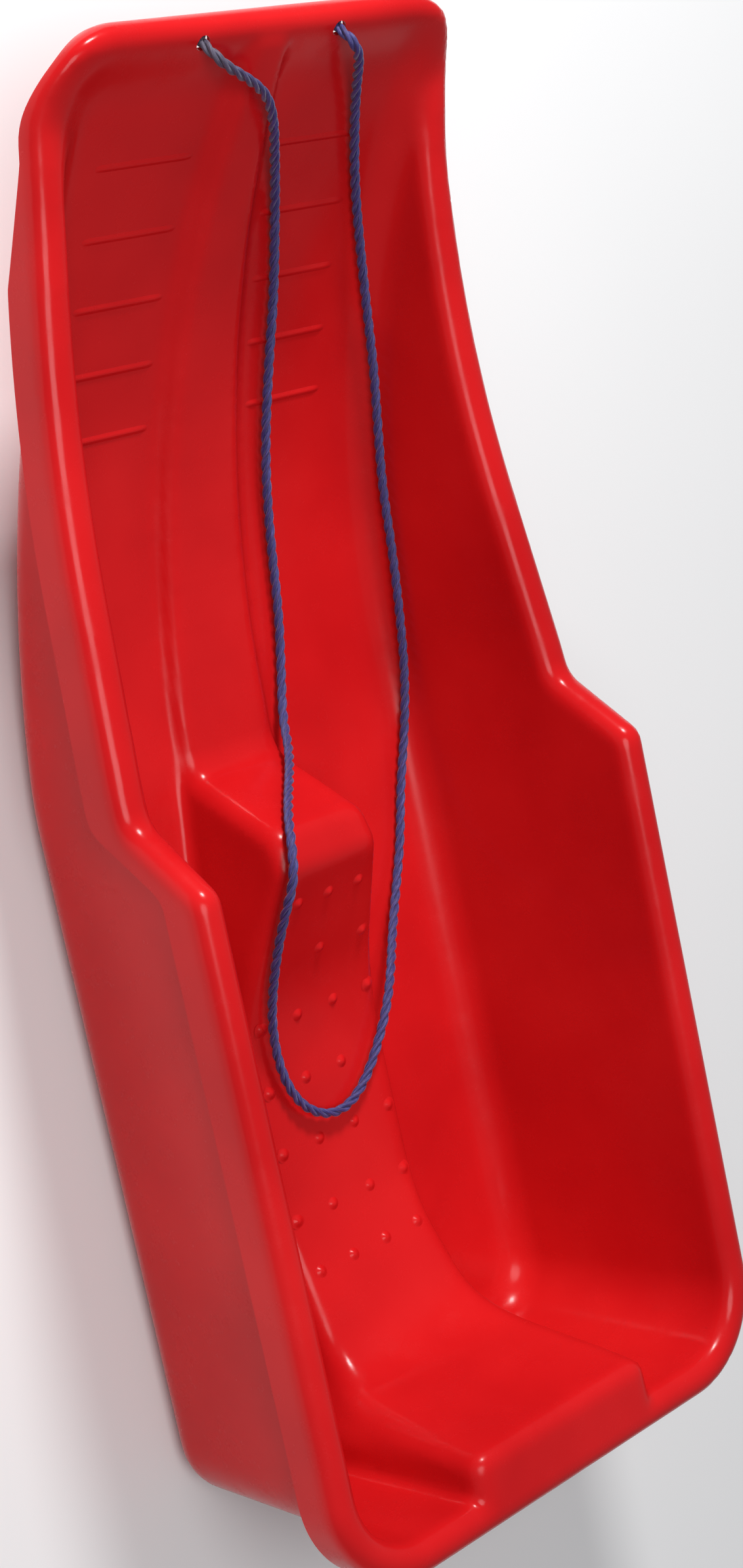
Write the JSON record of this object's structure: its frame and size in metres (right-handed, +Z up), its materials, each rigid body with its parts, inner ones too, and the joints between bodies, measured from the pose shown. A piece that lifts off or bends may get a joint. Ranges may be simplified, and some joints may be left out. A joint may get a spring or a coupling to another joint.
{
  "type": "sledge",
  "caption": "Child's one-piece moulded sledge with rolled rim, foot wells, hump seat and backrest, and a tow rope knotted in nose holes",
  "frame": {"origin": "centre of the hull's footprint, on the ground under the runners", "axes": "+Y to the nose, +Z up out of the tub, +X to the right of a rider who faces the nose"},
  "size_m": [0.366, 0.856, 0.1828],
  "materials": {
    "hull_plastic": "glossy moulded plastic",
    "rope": "twisted synthetic rope with a soft shine"
  },
  "bodies": {
    "root": {"hull": "hull_plastic", "tow_rope": "rope", "stopper_knot_left": "rope", "stopper_knot_right": "rope"}
  },
  "joints": []
}
